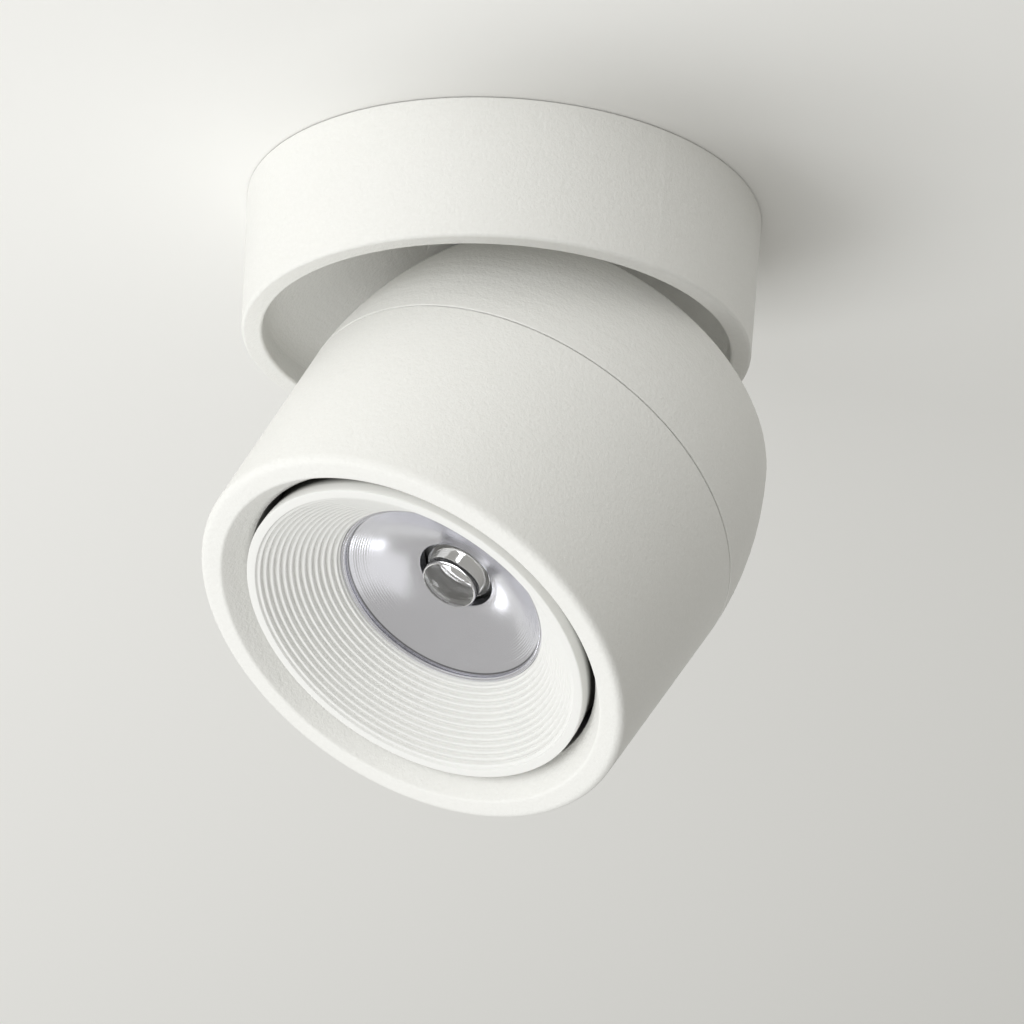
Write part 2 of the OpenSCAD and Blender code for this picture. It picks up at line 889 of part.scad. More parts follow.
// Two electrolytic capacitors standing on the driver board
module driver_capacitors() {
  bead = 0.4;
  color(black)
    in_head()
      for (y = [-can_y, can_y])
        translate([can_x, y, board_top])
          turned([
            [0, 0], [can_r, 0], [can_r, 2 * bead], [can_r - bead, 3 * bead], [can_r, 4 * bead],
            [can_r, can_h - 1.5 * bead], [can_r - 1.5 * bead, can_h], [0, can_h]
          ]);
}

// Filter choke: a wound ring lying on the driver board
module driver_choke() {
  color([0.75, 0.4, 0.2])
    in_head()
      translate([0, coil_y, board_top + coil_wire_r])
        rotate_extrude()
          translate([coil_r, 0])
            circle(r = coil_wire_r);
}

// Two-way plug on the driver's output
module output_connector() {
  color(natural)
    in_head()
      translate([plug_x, plug_y, board_top])
        difference() {
          translate([-plug_w / 2, -plug_l / 2, 0])
            cube([plug_w, plug_l, plug_h]);
          for (x = [-plug_w / 4, plug_w / 4])
            translate([x - plug_pin / 2, -plug_l / 4, plug_h / 2])
              cube([plug_pin, plug_l / 2, plug_h]);
        }
}

// Heat-conducting pad behind the light source
module led_pad() {
  color([0.55, 0.6, 0.7])
    in_head()
      translate([-led_side / 2, -led_side / 2, up(seat_depth - pad_t)])
        cube([led_side, led_side, pad_t]);
}

// Square board of the light source
module led_board() {
  color(bright)
    in_head()
      translate([-led_side / 2, -led_side / 2, up(led_face)])
        cube([led_side, led_side, led_t]);
}

// Round light-giving face of the light source
module led_emitter() {
  color([0.9, 0.8, 0.35])
    in_head()
      translate([0, 0, up(led_face - emitter_t)])
        cylinder(r = emitter_r, h = emitter_t);
}

// Plastic holder that clamps the board to the heat sink
module led_holder() {
  half = led_side / 2 + slip;
  color(natural)
    in_head()
      difference() {
        translate([0, 0, up(holder_face)])
          cylinder(r = holder_r, h = seat_depth - holder_face);
        translate([0, 0, up(holder_face) - eps])
          cylinder(r = holder_hole, h = seat_depth);
        translate([-half, -half, up(led_face)])
          cube([2 * half, 2 * half, led_t + pad_t + 1]);
        at_angles([0, 180], holder_screw_r)
          translate([0, 0, up(holder_face)])
            rotate([180, 0, 0])
              sunk_hole(m25_r, m25_head_r, seat_depth);
      }
}

// Two screws of the holder, driven from the front
module holder_screws() {
  color(steel)
    in_head()
      at_angles([0, 180], holder_screw_r)
        translate([0, 0, up(holder_face)])
          rotate([180, 0, 0])
            sunk_screw(m25_r - 0.05, m25_head_r, seat_depth - holder_face + 2.4, 0.8);
}

// Bright bowl behind the optic's mouth
module reflector() {
  back = optic_depth + ring_t;
  deep = neck_depth - back;
  inside = [for (i = [0:bowl_steps]) let (s = i / bowl_steps) [bowl_r(s), neck_depth - deep * s]];
  outside = [for (i = [0:bowl_steps]) let (s = 1 - i / bowl_steps)
    [bowl_r(s) + reflector_t, min(neck_depth, neck_depth - deep * s + reflector_t / 2)]];
  color(bright)
    in_head()
      turned(lifted(concat(
        inside,
        [
          [optic_r + reflector_flange, back], [optic_r + reflector_flange, back + reflector_t],
          [optic_r + reflector_t, back + reflector_t]
        ],
        [for (i = [1:bowl_steps]) outside[i]]
      )));
}

// Clear core lens standing in the bowl, with a domed front
module core_lens() {
  foot = neck_depth;
  dome_r = (core_r * core_r + core_dome * core_dome) / 2 / core_dome;
  dome_a = asin(core_r / dome_r);
  color([0.85, 0.9, 0.95, 0.5])
    in_head()
      turned(lifted(concat(
        [[0, foot], [neck_r - slip, foot], [neck_r - slip, foot - core_foot_t], [core_r, foot - core_foot_t]],
        [for (i = [0:round_steps]) let (a = dome_a * (1 - i / round_steps))
          [dome_r * sin(a), core_front + dome_r * (1 - cos(a))]]
      )));
}

// Thin bright ring that edges the optic's mouth
module optic_ring() {
  color(bright)
    in_head()
      turned(lifted([
        [optic_r, optic_depth + ring_t], [optic_r, optic_depth + 0.3], [optic_r + 0.3, optic_depth],
        [optic_r + ring_w - slip, optic_depth], [optic_r + ring_w - slip, optic_depth + ring_t]
      ]));
}

// Ribbed anti-glare baffle: flat rim, skirt in the mouth, cone with rounded rings down to the optic
module baffle() {
  start = [cone_top_r - 0.2, baffle_depth + 0.5];
  end = [cone_end_r + rib_in, cone_end - 0.3];
  color(white)
    in_head()
      rotate_extrude()
        union() {
          polygon(lifted([
            [baffle_r - 0.25, baffle_depth], [baffle_r, baffle_depth + 0.25], [baffle_r, skirt_end],
            [baffle_r - baffle_wall, skirt_end], [baffle_r - baffle_wall, baffle_depth + 2.6],
            [cone_end_r + 0.6, optic_depth + ring_t], [cone_end_r, optic_depth + ring_t],
            [cone_end_r, cone_end], [cone_top_r, baffle_depth + 0.3], [cone_top_r + 0.3, baffle_depth]
          ]));
          for (i = [0:rib_count - 1])
            let (p = start + (end - start) * i / (rib_count - 1) + [rib_in, rib_in])
              translate([p[0], up(p[1])])
                circle(r = rib_r, $fn = 24);
        }
}

// Three spring clips hooked over the skirt, which grip the mouth's bore
module baffle_clips() {
  bow = clip_w * clip_w / 8 / baffle_r;
  out = baffle_r + slip;
  in = baffle_r - baffle_wall - bow - slip;
  grip = bore_r - bow - slip;
  foot = skirt_end + slip;
  color(steel)
    in_head()
      for (a = clip_angles)
        rotate([0, 0, a])
          translate([0, clip_w / 2, 0])
            rotate([90, 0, 0])
              linear_extrude(clip_w)
                polygon(lifted([
                  [in - clip_t, foot - 3], [in, foot - 3], [in, foot], [out, foot],
                  [out, foot - 1.5], [grip - clip_t, foot - 3], [out, foot - 5],
                  [out + clip_t / 2, foot - 5.4], [grip, foot - 3], [out + clip_t, foot - 1],
                  [out + clip_t, foot + clip_t], [in - clip_t, foot + clip_t]
                ]));
}

ceiling_plate();
plate_standoffs();
cable_bush();
terminal_block();
terminal_screws();
canopy();
canopy_screws();
swivel_bearing();
stop_washer();
wave_washer();
swivel_nut();
tilt_arm();
hinge_washers();
hinge_pin();
hinge_nut();
front_shell();
rear_shell();
rear_screws();
heat_sink();
sink_screws();
driver_board();
driver_transformer();
driver_capacitors();
driver_choke();
output_connector();
led_pad();
led_board();
led_emitter();
led_holder();
holder_screws();
reflector();
core_lens();
optic_ring();
baffle();
baffle_clips();
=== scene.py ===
# %% [markdown]
# # A white adjustable ceiling spotlight
# A ring sits flat on the ceiling. A round head hangs in its open well, swivels about the ring's
# axis and tilts about a hidden hinge. The solids, their places and their joints come from the
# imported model. This file gives them their finish, and models finely the surfaces that show most.
# The hinge and the lean at rest come from the tilt joint, which holds the head straight down at its
# lower limit. The head's front plane lies a fixed reach past the hinge.

# %% Load the fixed frame
import json
import math

import bmesh
import bpy
import numpy as np
from mathutils import Matrix, Vector


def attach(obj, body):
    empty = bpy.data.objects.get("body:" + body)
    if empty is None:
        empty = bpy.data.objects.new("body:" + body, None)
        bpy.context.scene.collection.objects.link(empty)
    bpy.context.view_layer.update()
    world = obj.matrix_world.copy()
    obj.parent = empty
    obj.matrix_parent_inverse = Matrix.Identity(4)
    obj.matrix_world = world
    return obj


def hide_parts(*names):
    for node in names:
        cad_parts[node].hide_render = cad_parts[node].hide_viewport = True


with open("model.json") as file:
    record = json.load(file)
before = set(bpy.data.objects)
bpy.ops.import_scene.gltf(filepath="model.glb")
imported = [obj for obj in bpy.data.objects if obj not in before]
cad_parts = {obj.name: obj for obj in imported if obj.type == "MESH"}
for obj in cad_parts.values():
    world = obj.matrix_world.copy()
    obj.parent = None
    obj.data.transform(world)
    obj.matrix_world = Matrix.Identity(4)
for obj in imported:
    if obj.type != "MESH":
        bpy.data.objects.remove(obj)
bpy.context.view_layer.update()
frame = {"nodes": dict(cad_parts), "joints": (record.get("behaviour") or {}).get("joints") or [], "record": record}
NODES = frame["nodes"]
JOINTS = {joint["name"]: joint for joint in frame["joints"]}
MM = 0.001
HINGE = np.array(JOINTS["tilt"]["pos_m"]) / MM
LEAN = math.radians(-JOINTS["tilt"]["range_deg"][0])
FRONT_REACH = 28.5

# %% [markdown]
# ## The camera
# The photograph was taken with a long lens from below, so upright edges stay nearly parallel.
# A camera could be aimed by eye, but a fit of the ring's and the head's ellipses gives it better:
# a place, a direction, a small roll, and a focal length of about seven picture widths.

# %% Camera
CAMERA_PLACE = np.array([884.44, -659.93, -531.24]) * MM
CAMERA_AZIMUTH = math.radians(53.040)
CAMERA_RISE = math.radians(23.276)
CAMERA_ROLL = math.radians(3.392)
SENSOR_MM = 36.0
PICTURE_PX = 1024
FOCAL_PX = 7000.0


def camera_axes(azimuth, rise, roll):
    """Right, up and back directions of a camera that looks along an azimuth, upwards, and is rolled.

    Forward is (-sin azimuth * cos rise, cos azimuth * cos rise, sin rise). Right lies level and
    square to it, up is their cross product, and the roll turns both about forward.
    """
    level = math.cos(rise)
    forward = np.array([-math.sin(azimuth) * level, math.cos(azimuth) * level, math.sin(rise)])
    flat_right = np.array([math.cos(azimuth), math.sin(azimuth), 0.0])
    flat_up = np.cross(flat_right, forward)
    right = flat_right * math.cos(roll) + flat_up * math.sin(roll)
    return right, np.cross(right, forward), -forward


def make_camera():
    """Makes the camera of the photograph."""
    data = bpy.data.cameras.new("photo_camera")
    data.sensor_fit = "HORIZONTAL"
    data.sensor_width = SENSOR_MM
    data.lens = FOCAL_PX / PICTURE_PX * SENSOR_MM
    data.clip_start = 0.01
    data.clip_end = 50.0
    camera = bpy.data.objects.new("photo_camera", data)
    bpy.context.scene.collection.objects.link(camera)
    right, up, back = camera_axes(CAMERA_AZIMUTH, CAMERA_RISE, CAMERA_ROLL)
    turn = Matrix(np.column_stack([right, up, back]).tolist())
    camera.matrix_world = Matrix.Translation(Vector(CAMERA_PLACE)) @ turn.to_4x4()
    bpy.context.scene.camera = camera
    return camera


camera = make_camera()
print("camera lens", round(camera.data.lens, 1), "mm")

# %% [markdown]
# ## Shader maths
# A finish is a small sum of patterns. Nodes could be wired by hand, one link at a time, but a
# class that overloads the operators lets a pattern be written as the formula that it is.

# %% Shader helpers


class Level:
    """A number that varies over a surface. Sums and products of levels add Math nodes."""

    def __init__(self, finish, socket):
        self.finish = finish
        self.socket = socket

    def math(self, operation, *others):
        """One Math node on this level and the others."""
        values = {i: v for i, v in enumerate((self, *others))}
        return self.finish.node("ShaderNodeMath", {"operation": operation}, values)

    def __add__(self, other):
        return self.math("ADD", other)

    __radd__ = __add__

    def __mul__(self, other):
        return self.math("MULTIPLY", other)

    __rmul__ = __mul__

    def __sub__(self, other):
        return self.math("SUBTRACT", other)

    def __rsub__(self, other):
        return (self * -1.0).math("ADD", other)

    def clamp(self, low, high):
        """This level kept between two values."""
        return self.math("MAXIMUM", low).math("MINIMUM", high)

    def rise(self, start, run):
        """Share that is 0 up to start, grows evenly, and is 1 from start + run on."""
        return ((self - start) * (1.0 / run)).clamp(0.0, 1.0)

    def line(self, centre, half_width):
        """Share that is 1 at the centre and falls evenly to 0 at half a width on both sides."""
        off = (self - centre).math("ABSOLUTE")
        return (1.0 - off * (1.0 / half_width)).clamp(0.0, 1.0)


class Finish:
    """A material with one Principled shader, and short ways to add nodes to it."""

    def __init__(self, name, color, roughness, metallic=0.0, **constants):
        self.material = bpy.data.materials.new(name)
        self.material.use_nodes = True
        self.tree = self.material.node_tree
        self.shader = self.tree.nodes["Principled BSDF"]
        self.shader.inputs["Base Color"].default_value = (*color, 1.0)
        self.shader.inputs["Roughness"].default_value = roughness
        self.shader.inputs["Metallic"].default_value = metallic
        for socket, value in constants.items():
            self.shader.inputs[socket.replace("_", " ")].default_value = value
        self.color = color
        self.place = self.node("ShaderNodeTexCoord", out="Object")

    def node(self, kind, settings=None, inputs=None, out=0):
        """Adds a node: its settings first, then the values or links of its sockets."""
        node = self.tree.nodes.new(kind)
        for key, value in (settings or {}).items():
            setattr(node, key, value)
        for key, value in (inputs or {}).items():
            if isinstance(value, Level):
                self.tree.links.new(value.socket, node.inputs[key])
            else:
                node.inputs[key].default_value = value
        return Level(self, node.outputs[out])

    def feed(self, socket, level):
        """Links a level to one of the shader's sockets."""
        self.tree.links.new(level.socket, self.shader.inputs[socket])

    def vector(self, operation, *inputs, out="Vector"):
        """One Vector Math node on the inputs."""
        return self.node("ShaderNodeVectorMath", {"operation": operation}, dict(enumerate(inputs)), out)

    def noise(self, size, detail=2.0, stretch=(1.0, 1.0, 1.0)):
        """Cloudy pattern from 0 to 1 whose blobs are about size metres across."""
        moved = self.node("ShaderNodeMapping", None, {"Vector": self.place, "Scale": stretch})
        inputs = {"Vector": moved, "Scale": 1.0 / size, "Detail": detail}
        return self.node("ShaderNodeTexNoise", None, inputs)

    def depth_and_distance(self):
        """Depth behind the head's front plane and distance from its axis, in metres.

        With q = p - hinge and a = the axis: depth = reach - q . a, distance = |q x a|.
        """
        axis = (0.0, -math.sin(LEAN), -math.cos(LEAN))
        q = self.vector("SUBTRACT", self.place, HINGE * MM)
        along = self.vector("DOT_PRODUCT", q, axis, out="Value")
        across = self.vector("CROSS_PRODUCT", q, axis)
        return FRONT_REACH * MM - along, self.vector("LENGTH", across, out="Value")

    def tint(self, factor, color):
        """Base colour that drifts from the finish's own colour to another where the factor is high."""
        inputs = {0: factor, 6: (*self.color, 1.0), 7: (*color, 1.0)}
        self.feed("Base Color", self.node("ShaderNodeMix", {"data_type": "RGBA"}, inputs, out=2))

    def bump(self, height, depth, strength=1.0):
        """Relief whose full height is depth metres."""
        inputs = {"Height": height, "Distance": depth, "Strength": strength}
        self.feed("Normal", self.node("ShaderNodeBump", None, inputs))


print("shader helpers ready")

# %% [markdown]
# ## Finishes
# Each finish is a base colour, a roughness and a fine relief at the scale of the real surface.
# The white parts are powder coated: a matt film with a grain of less than a millimetre.
# An image of it would blur close up, so the grain is a noise in real size.
# Some dark lines and shades are painted shade that follows the head's own depth and radius.

# %% Finishes


def powder_coat():
    """Matt white powder coat with its fine orange-peel grain."""
    f = Finish("powder_coat", (0.89, 0.888, 0.868), 0.52, Specular_IOR_Level=0.42)
    grain = f.noise(0.0007, 3.0)
    fine = f.noise(0.0003, 1.0)
    cloud = f.noise(0.03, 2.0)
    f.tint((0.5 * cloud + 0.9 * grain).clamp(0.0, 1.0), (0.845, 0.842, 0.815))
    f.feed("Roughness", 0.46 + 0.12 * grain)
    f.bump(grain + 0.4 * fine, 0.00011, 0.9)
    return f.material


def baffle_white_and_gap_shade():
    """Matt white moulded baffle, smoother than the coated shells.

    Its outer side is painted dark behind the mouth, as painted shade in the narrow gap round it.
    """
    f = Finish("baffle_white_and_gap_shade", (0.85, 0.85, 0.832), 0.45, Specular_IOR_Level=0.4)
    depth, distance = f.depth_and_distance()
    side = distance.rise(30.7 * MM, 0.05 * MM)
    gap_shade_depth = depth.rise(3.6 * MM, 1.8 * MM)
    grain = f.noise(0.0003, 2.0)
    # painted shade: the outer side turns near black behind the mouth, for the gap's shadow
    f.tint((side * gap_shade_depth + 0.02 * grain).clamp(0.0, 1.0), (0.06, 0.058, 0.05))
    f.feed("Roughness", 0.42 + 0.08 * grain)
    f.bump(grain, 0.000012, 0.4)
    return f.material


def rolled_metal(name, color, roughness):
    """Plated or rolled metal: faint lengthwise streaks and a mottled sheen."""
    f = Finish(name, color, roughness, 1.0)
    streak = f.noise(0.0002, 3.0, (1.0, 0.12, 1.0))
    spangle = f.noise(0.004, 2.0)
    f.tint(spangle, tuple(0.86 * c for c in color))
    f.feed("Roughness", (roughness - 0.08) + 0.16 * streak)
    f.bump(streak, 0.00001, 0.5)
    return f.material


def cast_metal(name, color, roughness):
    """As-cast metal: a sandy skin with slightly darker hollows."""
    f = Finish(name, color, roughness, 1.0)
    sand = f.noise(0.0005, 4.0)
    cloud = f.noise(0.012, 2.0)
    f.tint(cloud, tuple(0.8 * c for c in color))
    f.feed("Roughness", (roughness - 0.06) + 0.14 * sand)
    f.bump(sand, 0.00006, 0.6)
    return f.material


def moulded(name, color, roughness, grain=0.0006, depth=0.00002):
    """Moulded plastic or rubber: a soft grain and a faint drift of colour."""
    f = Finish(name, color, roughness)
    skin = f.noise(grain, 3.0)
    cloud = f.noise(0.01, 2.0)
    f.tint(cloud, tuple(0.9 * c for c in color))
    f.feed("Roughness", (roughness - 0.05) + 0.1 * skin)
    f.bump(skin, depth, 0.5)
    return f.material


def bright_metal():
    """Vacuum-metallised plastic of the bowl and its ring: a cool mirror with a trace of waviness.

    It has painted shade: a dark hairline round the ring, one where the bowl meets it, and a
    darkened narrow neck of the bowl.
    """
    f = Finish("bright_metal", (0.94, 0.94, 1.0), 0.16, 0.9)
    wave = f.noise(0.004, 2.0)
    haze = f.noise(0.0009, 2.0)
    depth, _ = f.depth_and_distance()
    # painted shade: the deep neck and two hairlines at the ring are darkened in the base colour
    neck_shade = depth.rise(17.7 * MM, 0.25 * MM)
    ring_shade_line = depth.line(12.5 * MM, 0.125 * MM).clamp(0.0, 0.8)
    joint_shade_line = depth.line(13.1 * MM, 0.125 * MM).clamp(0.0, 0.8)
    f.tint((neck_shade + ring_shade_line + joint_shade_line + 0.05 * wave).clamp(0.0, 1.0), (0.09, 0.09, 0.10))
    f.feed("Roughness", 0.18 + 0.07 * haze)
    f.bump(wave, 0.00004, 0.25)
    return f.material


def clear_optic():
    """Clear moulded acrylic."""
    f = Finish("clear_optic", (0.97, 0.97, 0.98), 0.03, 0.0, IOR=1.49, Transmission_Weight=1.0)
    haze = f.noise(0.0015, 2.0)
    f.feed("Roughness", 0.02 + 0.03 * haze)
    return f.material


def phosphor():
    """Light-giving face, unlit: it looks dull and dark under its clear lens."""
    f = Finish("phosphor", (0.25, 0.245, 0.23), 0.45, 0.0, Coat_Weight=0.2)
    grain = f.noise(0.0004, 3.0)
    f.tint(grain, (0.19, 0.185, 0.17))
    f.bump(grain, 0.00002, 0.4)
    return f.material


SLOT_FINISH = {
    "white_powder_coat": powder_coat(),
    "white_baffle": baffle_white_and_gap_shade(),
    "zinc_plate": rolled_metal("zinc_plate", (0.56, 0.57, 0.59), 0.32),
    "spring_steel": rolled_metal("spring_steel", (0.45, 0.46, 0.48), 0.28),
    "cast_aluminium": cast_metal("cast_aluminium", (0.58, 0.59, 0.61), 0.42),
    "brass": rolled_metal("brass", (0.70, 0.52, 0.22), 0.28),
    "bright_metal": bright_metal(),
    "clear_optic": clear_optic(),
    "natural_nylon": moulded("natural_nylon", (0.78, 0.76, 0.68), 0.45),
    "rubber": moulded("rubber", (0.03, 0.03, 0.03), 0.7, 0.0008, 0.00004),
    "green_laminate": moulded("green_laminate", (0.02, 0.16, 0.07), 0.3, 0.0012, 0.00003),
    "yellow_tape": moulded("yellow_tape", (0.72, 0.52, 0.06), 0.3, 0.002, 0.00003),
    "black_sleeve": moulded("black_sleeve", (0.02, 0.02, 0.025), 0.3),
    "copper_winding": cast_metal("copper_winding", (0.55, 0.20, 0.08), 0.35),
    "grey_silicone": moulded("grey_silicone", (0.30, 0.34, 0.42), 0.6),
    "phosphor": phosphor(),
}
for part in frame["record"]["subparts"]:
    mesh = NODES[part["node"]].data
    mesh.materials.clear()
    mesh.materials.append(SLOT_FINISH[part["material_slot"]])
print("finishes on", len(NODES), "pieces")

# %% [markdown]
# ## Turned surfaces
# Almost everything that shows is round: the shells, the baffle, the bowl of the optic. A cylinder
# could be squashed into each shape, but a real one is turned or moulded from an outline, so here an
# outline of radius and depth is rounded at its corners and carried round the axis as one grid.

# %% Turned surfaces
TURNS = 288
ARC_STEPS = 7
LONGEST_RUN = 0.9


def rounded(corners):
    """Closed outline with rounded corners, from rows of radius, depth and fillet.

    A fillet q in a corner of angle 2h touches both sides at q / tan(h) from the corner, and its
    centre lies on the bisector at q / sin(h). A straight run is split where s = (1 - cos(pi t)) / 2,
    so that its points crowd at its ends and the shading of the fillets stays in the fillets.
    """
    rows = np.array(corners, float)
    arcs = []
    for here, last, after in zip(rows, np.roll(rows, 1, 0), np.roll(rows, -1, 0)):
        spot, fillet = here[:2], here[2]
        if fillet == 0.0:
            arcs.append(spot[None])
            continue
        to_last = (last[:2] - spot) / np.linalg.norm(last[:2] - spot)
        to_after = (after[:2] - spot) / np.linalg.norm(after[:2] - spot)
        half = 0.5 * np.arccos(np.clip(to_last @ to_after, -1.0, 1.0))
        bisector = (to_last + to_after) / np.linalg.norm(to_last + to_after)
        centre = spot + bisector * fillet / np.sin(half)
        start = spot + to_last * fillet / np.tan(half) - centre
        stop = spot + to_after * fillet / np.tan(half) - centre
        first = np.arctan2(start[1], start[0])
        swing = (np.arctan2(stop[1], stop[0]) - first + np.pi) % (2.0 * np.pi) - np.pi
        angle = first + swing * np.linspace(0.0, 1.0, ARC_STEPS + 1)
        arcs.append(centre + fillet * np.column_stack([np.cos(angle), np.sin(angle)]))
    outline = np.vstack(arcs)
    runs = []
    for a, b in zip(outline, np.roll(outline, -1, 0)):
        share = np.linspace(0.0, 1.0, max(1, math.ceil(np.linalg.norm(b - a) / LONGEST_RUN)) + 1)[:-1]
        runs.append(a + (b - a) * (0.5 - 0.5 * np.cos(np.pi * share))[:, None])
    return np.vstack(runs)


def grid_mesh(name, grid, faces):
    """Mesh object at the origin from points in metres and rows of four point numbers."""
    mesh = bpy.data.meshes.new(name)
    mesh.from_pydata(grid.reshape(-1, 3), [], faces)
    whole = bmesh.new()
    whole.from_mesh(mesh)
    bmesh.ops.remove_doubles(whole, verts=whole.verts, dist=1e-7)
    bmesh.ops.dissolve_degenerate(whole, edges=whole.edges, dist=1e-8)
    whole.to_mesh(mesh)
    whole.free()
    mesh.polygons.foreach_set("use_smooth", np.ones(len(mesh.polygons), bool))
    piece = bpy.data.objects.new(name, mesh)
    bpy.context.scene.collection.objects.link(piece)
    return piece


def turned(name, outline, place, turns=TURNS):
    """Surface of revolution of a closed outline (radius, height) in millimetres.

    Point (i, j) = (r_i cos t_j, r_i sin t_j, z_i) with t_j = 2 pi j / turns. The outline runs
    anticlockwise, with the radius to the right and the height upwards, so that faces point outwards.
    """
    r, z = outline.T
    if np.sum(r * np.roll(z, -1) - np.roll(r, -1) * z) < 0.0:
        r, z = r[::-1], z[::-1]
    t = np.arange(turns) * 2.0 * np.pi / turns
    height = np.repeat(z[:, None], turns, 1)
    grid = np.stack([np.outer(r, np.cos(t)), np.outer(r, np.sin(t)), height], -1)
    i, j = np.meshgrid(np.arange(len(r)), np.arange(turns), indexing="ij")
    i_next, j_next = (i + 1) % len(r), (j + 1) % turns
    row, row_next = i * turns, i_next * turns
    faces = np.stack([row + j, row + j_next, row_next + j_next, row_next + j], -1)
    return grid_mesh(name, place(grid) * MM, faces.reshape(-1, 4).tolist())


square = rounded([[1.0, 0.0, 0.2], [3.0, 0.0, 0.2], [3.0, 2.0, 0.2], [1.0, 2.0, 0.2]])
print("a square with rounded corners has", len(square), "points")

# %% [markdown]
# ## The head's own frame
# The head's pieces are turned about one axis, which passes through the hinge and leans away from
# the vertical. They could be made upright and turned as objects, but then their patterns would turn
# with them, so the points themselves are moved. Depths are counted back from the head's front
# plane.

# %% Head frame
def in_head(grid):
    """Points (x, y, depth) of the head, moved down by the reach, leaned and hung on the hinge.

    y' = y cos(lean) + h sin(lean) and z' = h cos(lean) - y sin(lean), with h = depth - reach.
    """
    x, y, h = grid[..., 0], grid[..., 1], grid[..., 2] - FRONT_REACH
    leaned = [x, y * math.cos(LEAN) + h * math.sin(LEAN), h * math.cos(LEAN) - y * math.sin(LEAN)]
    return np.stack(leaned, -1) + HINGE


def fit(piece, node):
    """Puts a fine piece of the head in place of its CAD node, with the node's finish."""
    part = next(row for row in frame["record"]["subparts"] if row["node"] == node)
    piece.data.materials.append(SLOT_FINISH[part["material_slot"]])
    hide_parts(node)
    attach(piece, "head")
    print(piece.name, "has", len(piece.data.polygons), "faces")


print("hinge at", HINGE, "lean", round(math.degrees(LEAN), 1))

# %% [markdown]
# ## The front shell
# The front of the head is one turned aluminium shell: a side that widens a little towards the
# seam, a rounded edge, a narrow flat, and a bezel dished down to the mouth. The seam is a real
# gap of a third of a millimetre, which stays dark because it is deep. A drawn line would vanish
# close up, so the shell simply ends a little early, with a small round on its edge.

# %% Front shell
HEAD_R = 40.19
SEAM_R = 41.46
SEAM_DEPTH = 39.5
SEAM_GAP = 0.32
INNER_R = 37.6
SEAT_R = 36.4
SEAT_DEPTH = 21.7
FLAT_IN = 36.0
BORE_R = 32.75
MOUTH_DEPTH = 5.0
RETURN_R = 34.55
RETURN_DEPTH = 15.0
BEZEL_BACK = 7.6

front_outline = rounded([
    [INNER_R, SEAM_DEPTH - SEAM_GAP, 0.1],
    [SEAM_R, SEAM_DEPTH - SEAM_GAP, 0.1],
    [HEAD_R, 0.0, 1.4],
    [FLAT_IN, 0.0, 0.7],
    [BORE_R, MOUTH_DEPTH, 0.18],
    [BORE_R, RETURN_DEPTH, 0.2],
    [RETURN_R, RETURN_DEPTH, 0.2],
    [RETURN_R, BEZEL_BACK, 0.3],
    [SEAT_R, BEZEL_BACK, 0.3],
    [SEAT_R, SEAT_DEPTH, 0.1],
    [INNER_R, SEAT_DEPTH, 0.1],
])
fit(turned("front_shell_fine", front_outline, in_head), "front_shell")

# %% [markdown]
# ## The ribbed baffle
# A white moulded cone stops glare. Its ribs run round it like ripples: broad rounded crests with
# narrower grooves between them. Rings could be stacked on a cone, but a moulded surface has no
# joints, so one outline carries all the ripples, and its height off the cone is a power of a sine.
# Behind the mouth its side draws in a little, which leaves a narrow gap to the bezel; the side is painted dark
# there as painted shade.

# %% Baffle
BAFFLE_R = 31.95
BAFFLE_WAIST = 31.7
SHOULDER_DEPTH = 3.6
WAIST_DEPTH = 6.6
SHOULDER_ROUND = 1.5
BAFFLE_WALL = 1.2
BAFFLE_POCKET = 4.9
BAFFLE_DEPTH = 1.7
CONE_TOP = np.array([30.15, 2.0])
CONE_END = np.array([19.3, 11.8])
BAFFLE_FOOT = 13.5
OPTIC_BACK = 13.0
RIB_COUNT = 13
RIB_CREST = 0.2
RIB_GROOVE = 0.58
RIB_POINTS = 14


def ribs():
    """Rippled line from the rim to the optic.

    A point at share s of the cone stands off it by crest - groove * sin(pi n s)^3, taken positive,
    for n ribs. The ripples fade out over the first and last half rib.
    """
    share = np.linspace(0.0, 1.0, RIB_COUNT * RIB_POINTS + 1)
    run = CONE_END - CONE_TOP
    away = np.array([-run[1], run[0]]) / np.linalg.norm(run)
    groove = np.abs(np.sin(np.pi * (RIB_COUNT * share + 0.5))) ** 3.0
    fade = np.clip(np.minimum(share, 1.0 - share) * 2.0 * RIB_COUNT, 0.0, 1.0)
    stand = (RIB_CREST - RIB_GROOVE * groove) * fade
    return CONE_TOP + share[:, None] * run + stand[:, None] * away


side_rows = [
    [BAFFLE_WAIST, BAFFLE_FOOT, 0.2],
    [BAFFLE_WAIST, WAIST_DEPTH, SHOULDER_ROUND],
    [BAFFLE_R, SHOULDER_DEPTH, SHOULDER_ROUND],
    [BAFFLE_R, BAFFLE_DEPTH, 0.28],
    [CONE_TOP[0] + 0.15, BAFFLE_DEPTH, 0.15],
]
cone_rows = [[*point, 0.0] for point in ribs()]
back_rows = [
    [CONE_END[0], OPTIC_BACK, 0.0],
    [CONE_END[0] + 0.6, OPTIC_BACK, 0.0],
    [BAFFLE_WAIST - BAFFLE_WALL, BAFFLE_POCKET, 0.3],
    [BAFFLE_WAIST - BAFFLE_WALL, BAFFLE_FOOT, 0.2],
]
fit(turned("baffle_fine", rounded(side_rows + cone_rows + back_rows), in_head), "baffle")

# %% [markdown]
# ## The optic
# Behind the baffle sits the optic: a bright bowl, a thin ring that trims its mouth, and a clear
# core lens with a low dome that stands in the middle on a wider foot. The bowl could be a plain
# cone, but a real one curves so that it gathers light, which a power of the depth gives. Its wall
# has faint rings from its mould near the mouth, and these catch the light as fine arcs.

